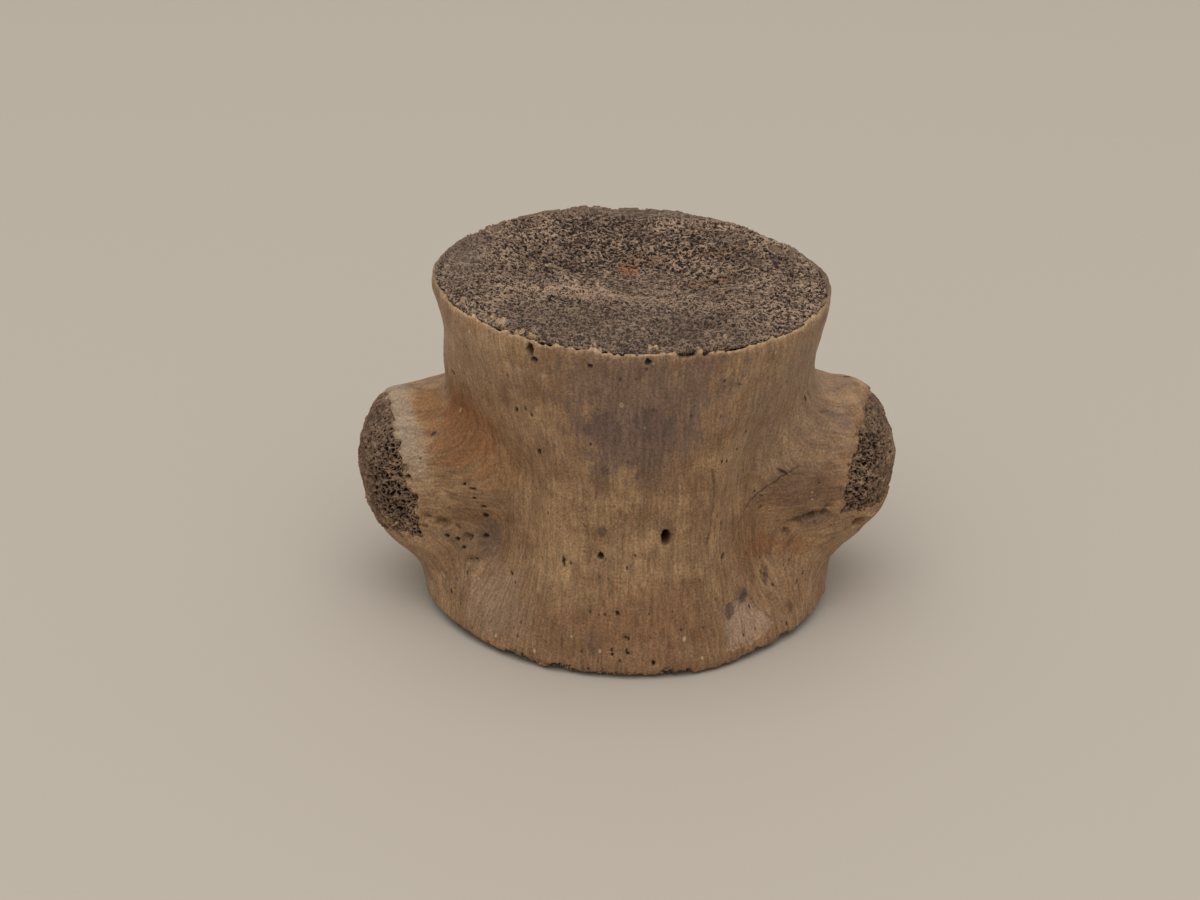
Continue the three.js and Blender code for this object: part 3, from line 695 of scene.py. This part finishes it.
fibre_light = add(tree, "ShaderNodeMapRange", {0: fibres, 1: NOISE_SPAN[0], 2: NOISE_SPAN[1],
                                               3: FIBRE_LIGHT[0], 4: FIBRE_LIGHT[1]})
grain_light = add(tree, "ShaderNodeMapRange", {0: grain, 1: NOISE_SPAN[0], 2: NOISE_SPAN[1],
                                               3: GRAIN_LIGHT[0], 4: GRAIN_LIGHT[1]})
light = add(tree, "ShaderNodeMath", {0: fibre_light, 1: grain_light}, operation="MULTIPLY")
colour = add(tree, "ShaderNodeVectorMath", {0: colour, "Scale": light}, operation="SCALE")

# Pinholes and pale specks sit in cells along the fibres; only some cells have one, more of them low down
PINHOLE = {"long": 0.6, "layers": 3.0, "picked": 0.3, "largest": 0.27, "edge": 0.12}
PALE_SPECK = {"picked": 0.92, "largest": 0.3, "strength": 0.6}
LOW_DOWN = {"span": (9.0, 4.0), "more": 0.12}
CROWDED = {"span": (0.42, 0.6), "strengths": (0.35, 0.9)}
cell_sizes = (1 / PINHOLE_GAP, PINHOLE["long"] / PINHOLE_GAP, PINHOLE["layers"])
pin_at = add(tree, "ShaderNodeVectorMath", {0: fibre_place, 1: cell_sizes}, operation="MULTIPLY")
cells = add(tree, "ShaderNodeTexVoronoi", {"Vector": pin_at, "Scale": 1.0}, out="Distance",
            feature="F1").node
pick = add(tree, "ShaderNodeSeparateColor", {0: cells.outputs["Color"]}, out="Red").node
pin_size = add(tree, "ShaderNodeMapRange", {0: pick.outputs["Red"], 1: PINHOLE["picked"], 2: 1.0, 3: 0.0,
                                            4: PINHOLE["largest"]})
pin = add(tree, "ShaderNodeMath", {0: pin_size, 1: cells.outputs["Distance"]}, operation="SUBTRACT")
pin = add(tree, "ShaderNodeMapRange", {0: pin, 1: 0.0, 2: PINHOLE["edge"]})
low = add(tree, "ShaderNodeMapRange", {0: z, 1: LOW_DOWN["span"][0], 2: LOW_DOWN["span"][1], 3: 0.0,
                                       4: LOW_DOWN["more"]})
crowd = add(tree, "ShaderNodeMath", {0: patches, 1: low}, operation="ADD")
crowd = add(tree, "ShaderNodeMapRange", {0: crowd, 1: CROWDED["span"][0], 2: CROWDED["span"][1],
                                         3: CROWDED["strengths"][0], 4: CROWDED["strengths"][1]})
pin = add(tree, "ShaderNodeMath", {0: pin, 1: crowd}, operation="MULTIPLY")
speck_size = add(tree, "ShaderNodeMapRange", {0: pick.outputs["Green"], 1: PALE_SPECK["picked"], 2: 1.0,
                                              3: 0.0, 4: PALE_SPECK["largest"]})
speck = add(tree, "ShaderNodeMath", {0: speck_size, 1: cells.outputs["Distance"]}, operation="SUBTRACT")
speck = add(tree, "ShaderNodeMapRange", {0: speck, 1: 0.0, 2: PINHOLE["edge"], 3: 0.0,
                                         4: PALE_SPECK["strength"]})
colour = add(tree, "ShaderNodeMix", {0: speck, 1: colour, 2: linear(SPECK)}, data_type="RGBA")
HOLE_STRENGTH = 0.8
CRACK_EDGE = (0.14, 0.03)
pit = add(tree, "ShaderNodeAttribute", {}, out="Fac", attribute_name="pit")
pit_dark = add(tree, "ShaderNodeMapRange", {0: pit, 1: SOFT_EDGE[0], 2: SOFT_EDGE[1], 3: 0.0,
                                            4: HOLE_STRENGTH}, interpolation_type="SMOOTHSTEP")
crack = add(tree, "ShaderNodeAttribute", {}, out="Fac", attribute_name="crack")
crack_dark = add(tree, "ShaderNodeMapRange", {0: crack, 1: CRACK_EDGE[0], 2: CRACK_EDGE[1], 3: 0.0,
                                              4: HOLE_STRENGTH})
crack_dark = add(tree, "ShaderNodeMath", {0: crack_dark, 1: mottle_light}, operation="MULTIPLY")
# Pits, pinholes and cracks are darkened to near-black: painted shade inside the holes
dark = add(tree, "ShaderNodeMath", {0: pin, 1: pit_dark}, operation="MAXIMUM")
dark = add(tree, "ShaderNodeMath", {0: dark, 1: crack_dark}, operation="MAXIMUM")
colour = add(tree, "ShaderNodeMix", {0: dark, 1: colour, 2: linear(PAINTED_HOLE_SHADE)}, data_type="RGBA")
tree.links.new(colour, shader.inputs["Base Color"])
SATIN = (0.5, 0.68)
BONE_SHINE = 0.35
GRAIN_SHARE = 0.35
BONE_BUMP = {"strength": 0.6, "height": 0.12}
roughness = add(tree, "ShaderNodeMapRange", {0: fibres, 1: NOISE_SPAN[0], 2: NOISE_SPAN[1],
                                             3: SATIN[0], 4: SATIN[1]})
tree.links.new(roughness, shader.inputs["Roughness"])
shader.inputs["Specular IOR Level"].default_value = BONE_SHINE
height = add(tree, "ShaderNodeMix", {0: GRAIN_SHARE, 1: fibres, 2: grain}, data_type="FLOAT")
height = add(tree, "ShaderNodeMath", {0: height, 1: pin}, operation="SUBTRACT")
bump = add(tree, "ShaderNodeBump", {"Height": height, "Strength": BONE_BUMP["strength"],
                                    "Distance": BONE_BUMP["height"] * MM})
tree.links.new(bump, shader.inputs["Normal"])
skin.data.materials.append(compact_bone)
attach(skin, "root")
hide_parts("centrum")

# The end faces
# The two ends that met the next vertebrae: open spongy bone with the hard skin worn off, in a shallow dish.
# Each is a fine grid laid on the form and opened into pores between worm-like struts.
SPONGY_DIP = 0.6
SHEET_MARGIN = 0.9
SHEET_TURN_IN = 1.0
SHEET_DRAW_IN = 0.95
SMALL_HOLE = 200
JUST_MISSED = 0.001
SWAY = {"per gap": 0.6, "gaps": 2.2}
WALL_SPAN = (0.02, 0.24)
WORM_HALF_WIDTH = 0.085
PORE_EDGE = 0.8
CRUMBLE = {"per mm": 0.6, "span": (-0.2, 0.05)}
SINK_SPAN = (0.12, -0.35)
STEEPEST = 0.3


def struts(tree, place, gap, stretch, worms):
    """How near a place in mm lies to the ridge of a strut, from 0 in a pore to 1, in either kind of tree."""
    place = add(tree, "ShaderNodeVectorMath", {0: place, 1: stretch}, operation="MULTIPLY")
    sway = add(tree, "ShaderNodeTexNoise", {"Vector": place, "Scale": SWAY["per gap"] / gap, "Detail": 2.0},
               out="Color")
    sway = add(tree, "ShaderNodeVectorMath", {0: sway, 1: (0.5, 0.5, 0.5)}, operation="SUBTRACT")
    swayed = add(tree, "ShaderNodeVectorMath", {0: sway, 1: (SWAY["gaps"] * gap,) * 3, 2: place},
                 operation="MULTIPLY_ADD")
    walls = add(tree, "ShaderNodeTexVoronoi", {"Vector": swayed, "Scale": 1 / gap},
                feature="DISTANCE_TO_EDGE")
    wall = add(tree, "ShaderNodeMapRange", {0: walls, 1: WALL_SPAN[0], 2: WALL_SPAN[1],
                                            3: 1.0 - worms, 4: 0.0})
    ridge = add(tree, "ShaderNodeTexNoise", {"Vector": place, "Scale": 1 / gap, "Detail": 1.5})
    ridge = add(tree, "ShaderNodeMath", {0: ridge, 1: 0.5}, operation="SUBTRACT")
    ridge = add(tree, "ShaderNodeMath", {0: ridge}, operation="ABSOLUTE")
    worm = add(tree, "ShaderNodeMapRange", {0: ridge, 1: 0.0, 2: WORM_HALF_WIDTH, 3: worms, 4: 0.0})
    strut = add(tree, "ShaderNodeMath", {0: wall, 1: worm}, operation="MAXIMUM")
    return add(tree, "ShaderNodeMapRange", {0: strut, 1: 0.0, 2: max(worms, 1.0 - worms)})


def spongy_relief(name, gap, stretch, worms, depth, edge_wear):
    """A geometry tree that opens a sheet into pores between struts and sinks it where the skin covers it."""
    tree = geometry_tree(name, Geometry="NodeSocketGeometry")
    bone = add(tree, "NodeGroupInput", {})
    place = place_in_mm(tree)
    reach = add(tree, "GeometryNodeGroup", {}, node_tree=spongy_reach)
    strut = struts(tree, place, gap, stretch, worms)
    pore = add(tree, "ShaderNodeMapRange", {0: strut, 1: 0.0, 2: PORE_EDGE, 3: -depth, 4: 0.0},
               interpolation_type="SMOOTHSTEP")
    crumble = add(tree, "ShaderNodeTexNoise", {"Vector": place, "Scale": CRUMBLE["per mm"], "Detail": 4.0})
    crumble = add(tree, "ShaderNodeMapRange", {0: crumble, 1: NOISE_SPAN[0], 2: NOISE_SPAN[1],
                                               3: CRUMBLE["span"][0], 4: CRUMBLE["span"][1]})
    sink = add(tree, "ShaderNodeMapRange", {0: reach, 1: SINK_SPAN[0], 2: SINK_SPAN[1], 3: 0.0,
                                            4: -SPONGY_DIP}, interpolation_type="SMOOTHSTEP")
    steep = add(tree, "ShaderNodeSeparateXYZ", {0: add(tree, "GeometryNodeInputNormal", {})}, out="Z")
    steep = add(tree, "ShaderNodeMath", {0: steep}, operation="ABSOLUTE")
    worn = add(tree, "ShaderNodeMapRange", {0: steep, 1: 1.0, 2: STEEPEST, 3: 0.0, 4: -edge_wear})
    sink = add(tree, "ShaderNodeMath", {0: sink, 1: worn}, operation="ADD")
    lift = add(tree, "ShaderNodeMath", {0: pore, 1: sink}, operation="ADD")
    lift = add(tree, "ShaderNodeMath", {0: lift, 1: crumble}, operation="ADD")
    lift = add(tree, "ShaderNodeMath", {0: lift, 1: MM}, operation="MULTIPLY")
    normal = add(tree, "GeometryNodeInputNormal", {})
    shift = add(tree, "ShaderNodeVectorMath", {0: normal, "Scale": lift}, operation="SCALE")
    for mark, value, kind in (("rest", place, "FLOAT_VECTOR"), ("reach", reach, "FLOAT")):
        bone = add(tree, "GeometryNodeStoreNamedAttribute", {"Geometry": bone, "Name": mark, "Value": value},
                   data_type=kind, domain="POINT")
    bone = add(tree, "GeometryNodeSetPosition", {"Geometry": bone, "Offset": shift})
    add(tree, "NodeGroupOutput", {"Geometry": bone})
    return tree


def spongy_sheet(name, middle, outward, sides, spacing, deepest, relief, bone):
    """A fine grid laid on the form from outside, trimmed where it misses, opened into pores and closed."""
    turn = Vector(outward).to_track_quat("Z", "Y").to_euler()
    steps = [round(side / spacing) for side in sides]
    bpy.ops.object.select_all(action="DESELECT")
    bpy.ops.mesh.primitive_grid_add(x_subdivisions=steps[0], y_subdivisions=steps[1], size=1,
                                    location=Vector(middle) * MM, rotation=turn)
    sheet = bpy.context.object
    sheet.name = name
    sheet.scale = (sides[0] * MM, sides[1] * MM, 1)
    bpy.ops.object.transform_apply(location=False, rotation=False, scale=True)
    sheet.data.uv_layers[0].name = "OFBake"
    modify(sheet, "SHRINKWRAP", target=form, wrap_method="PROJECT", use_project_z=True,
           use_negative_direction=True, use_positive_direction=False)
    keep_only(sheet, [-deepest * MM < vertex.co.z < -JUST_MISSED * MM for vertex in sheet.data.vertices])
    bpy.ops.object.transform_apply(location=True, rotation=True, scale=True)
    modify(sheet, "NODES", node_group=relief)
    keep_only(sheet, [reach > -SHEET_MARGIN for reach in marks_on(sheet, "reach")])
    corners = [Vector(corner) for corner in sheet.bound_box]
    outward = Vector(outward).normalized()
    bpy.ops.object.mode_set(mode="EDIT")
    bpy.ops.mesh.select_all(action="SELECT")
    bpy.ops.mesh.fill_holes(sides=SMALL_HOLE)
    bpy.ops.mesh.select_all(action="DESELECT")
    bpy.ops.mesh.select_mode(type="EDGE")
    bpy.ops.mesh.select_non_manifold()
    bpy.ops.mesh.extrude_region_move(TRANSFORM_OT_translate={"value": outward * -SHEET_TURN_IN * MM})
    bpy.ops.transform.resize(value=(SHEET_DRAW_IN,) * 3,
                             center_override=sum(corners, Vector()) / len(corners))
    bpy.ops.mesh.edge_face_add()
    bpy.ops.object.mode_set(mode="OBJECT")
    face_outward(sheet, outward)
    sheet.data.materials.append(bone)
    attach(sheet, "root")
    return sheet


# Spongy bone, fossilised: a network of fine grey-brown and cream struts round open pores, with rust in
# places. The near-black of the pores is painted shade. It is dull all over.
# near-black painted shade inside the open pores
PAINTED_PORE_SHADE = "17100D"
TONES = {"fine per mm": 1.8, "broad per mm": 0.3, "broad share": 0.35, "span": (0.36, 0.64)}
SPONGY_SWAY = 0.5
OPEN_SPAN = (0.18, 0.8)
DULL = 0.8
SPONGY_SHINE = 0.25
SPONGY_BUMP = {"per mm": 9.0, "strength": 0.5, "height": 0.05}
SPONGY_STAINS = [
    ((0.07, 4.1, 23.8), (0.9, 0.8, 2.0), "A8683F", 0.6),
    ((0.9, 5.2, 24.0), (2.2, 0.7, 2.0), "8A6246", 0.5),
    ((6.6, 5.5, 24.8), (2.4, 0.6, 2.0), "8A6246", 0.5),
    ((6.0, 1.8, 24.2), (2.6, 0.6, 2.0), "916343", 0.5),
    ((-6.2, -2.4, 25.5), (4.4, 1.0, 2.0), "C4A68B", 0.5),
    ((0.0, -1.6, 25.0), (6.0, 0.8, 2.0), "BC9D82", 0.45),
]
# Ground dust that fills the pores along the near side, the far rim and the left side of the upper face
DUST = [
    ((0.0, -8.4, 25.5), (10.5, 4.4, 3.0), "56473E", 0.4),
    ((0.0, 11.5, 25.0), (11.0, 1.6, 3.0), "6E5F53", 0.5),
    ((-11.6, 3.0, 25.5), (2.2, 6.0, 3.0), "74655A", 0.35),
]


def spongy_material(name, gap, stretch, worms, dark_strut, light_strut):
    """Fossil spongy bone whose struts follow the relief of the piece it is on."""
    made = bpy.data.materials.new(name)
    made.use_nodes = True
    tree = made.node_tree
    shader = tree.nodes["Principled BSDF"]
    place = add(tree, "ShaderNodeAttribute", {}, out="Vector", attribute_name="rest")
    strut = struts(tree, place, gap, stretch, worms)
    tone = add(tree, "ShaderNodeTexNoise", {"Vector": place, "Scale": TONES["fine per mm"], "Detail": 4.0,
                                            "Roughness": 0.75})
    broad = add(tree, "ShaderNodeTexNoise", {"Vector": place, "Scale": TONES["broad per mm"], "Detail": 3.0})
    tone = add(tree, "ShaderNodeMix", {0: TONES["broad share"], 1: tone, 2: broad}, data_type="FLOAT")
    tone_light = add(tree, "ShaderNodeMapRange", {0: tone, 1: TONES["span"][0], 2: TONES["span"][1]})
    colour = add(tree, "ShaderNodeMix", {0: tone_light, 1: linear(dark_strut), 2: linear(light_strut)},
                 data_type="RGBA")
    ragged = add(tree, "ShaderNodeMapRange", {0: tone, 1: NOISE_SPAN[0], 2: NOISE_SPAN[1],
                                              3: SPONGY_SWAY, 4: -SPONGY_SWAY}, clamp=False)
    colour = stained_and_shaded(tree, colour, place, ragged, SPONGY_STAINS)
    # Between the struts the colour turns to the near-black painted shade of the pores
    open_share = add(tree, "ShaderNodeMapRange", {0: strut, 1: OPEN_SPAN[0], 2: OPEN_SPAN[1]},
                     interpolation_type="SMOOTHSTEP")
    colour = add(tree, "ShaderNodeMix", {0: open_share, 1: linear(PAINTED_PORE_SHADE), 2: colour}, data_type="RGBA")
    colour = stained_and_shaded(tree, colour, place, ragged, DUST)
    tree.links.new(colour, shader.inputs["Base Color"])
    shader.inputs["Roughness"].default_value = DULL
    shader.inputs["Specular IOR Level"].default_value = SPONGY_SHINE
    height = add(tree, "ShaderNodeTexNoise", {"Vector": place, "Scale": SPONGY_BUMP["per mm"],
                                              "Detail": 2.0})
    bump = add(tree, "ShaderNodeBump", {"Height": height, "Strength": SPONGY_BUMP["strength"],
                                        "Distance": SPONGY_BUMP["height"] * MM})
    tree.links.new(bump, shader.inputs["Normal"])
    return made


END_STRUTS = {"gap": 0.36, "stretch": (0.8, 1.25, 0.5), "worms": 0.7}
end_relief = spongy_relief("end_relief", depth=0.2, edge_wear=0.25, **END_STRUTS)
end_bone = spongy_material("fossil_spongy_bone_of_ends", dark_strut="59453A", light_strut="C2A48A",
                           **END_STRUTS)
upper_face = spongy_sheet("upper_face", middle=(0.2, 0, 30), outward=(0, 0, 1), sides=(29.5, 26),
                          spacing=0.08, deepest=9, relief=end_relief, bone=end_bone)
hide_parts("upper_end_face")
lower_face = spongy_sheet("lower_face", middle=(0.2, 0, -4), outward=(0, 0, -1), sides=(31, 26),
                          spacing=0.088, deepest=6, relief=end_relief, bone=end_bone)
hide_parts("lower_end_face")

# The rib facets
# The ends of the two short processes, where the ribs sat: bare spongy bone with larger pores, swelling out.
# Each is a fine grid laid on the end of its process from the side.
FACET_STRUTS = {"gap": 0.44, "stretch": (1, 1, 0.9), "worms": 0.6}
FACET_GRID = {"sides": (13, 11.5), "spacing": 0.05, "deepest": 14}
facet_relief = spongy_relief("facet_relief", depth=0.38, edge_wear=0.0, **FACET_STRUTS)
facet_bone = spongy_material("fossil_spongy_bone_of_facets", dark_strut="49372E", light_strut="AC8D72",
                             **FACET_STRUTS)
left_rib_face = spongy_sheet("left_rib_face", middle=(-26, -3, 10.6), outward=(-1, -0.45, 0),
                             relief=facet_relief, bone=facet_bone, **FACET_GRID)
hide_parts("left_rib_facet")
right_rib_face = spongy_sheet("right_rib_face", middle=(26, -3, 11.6), outward=(1, -0.45, 0),
                              relief=facet_relief, bone=facet_bone, **FACET_GRID)
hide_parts("right_rib_facet")

# The arch facets
# Two rough triangles on the back, either side of the floor of the nerve canal, where the neural arch sat
# on the centrum. Each is a fine grid laid on the back, opened like the rib facets.
ARCH_GRID = {"outward": (0, 1, 0), "sides": (9, 15), "spacing": 0.07, "deepest": 9}
left_arch_face = spongy_sheet("left_arch_face", middle=(-6, 16, 11.6), relief=facet_relief, bone=facet_bone,
                              **ARCH_GRID)
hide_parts("left_arch_facet")
right_arch_face = spongy_sheet("right_arch_face", middle=(6, 16, 11.6), relief=facet_relief, bone=facet_bone,
                               **ARCH_GRID)
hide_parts("right_arch_facet")

bpy.data.objects.remove(form)
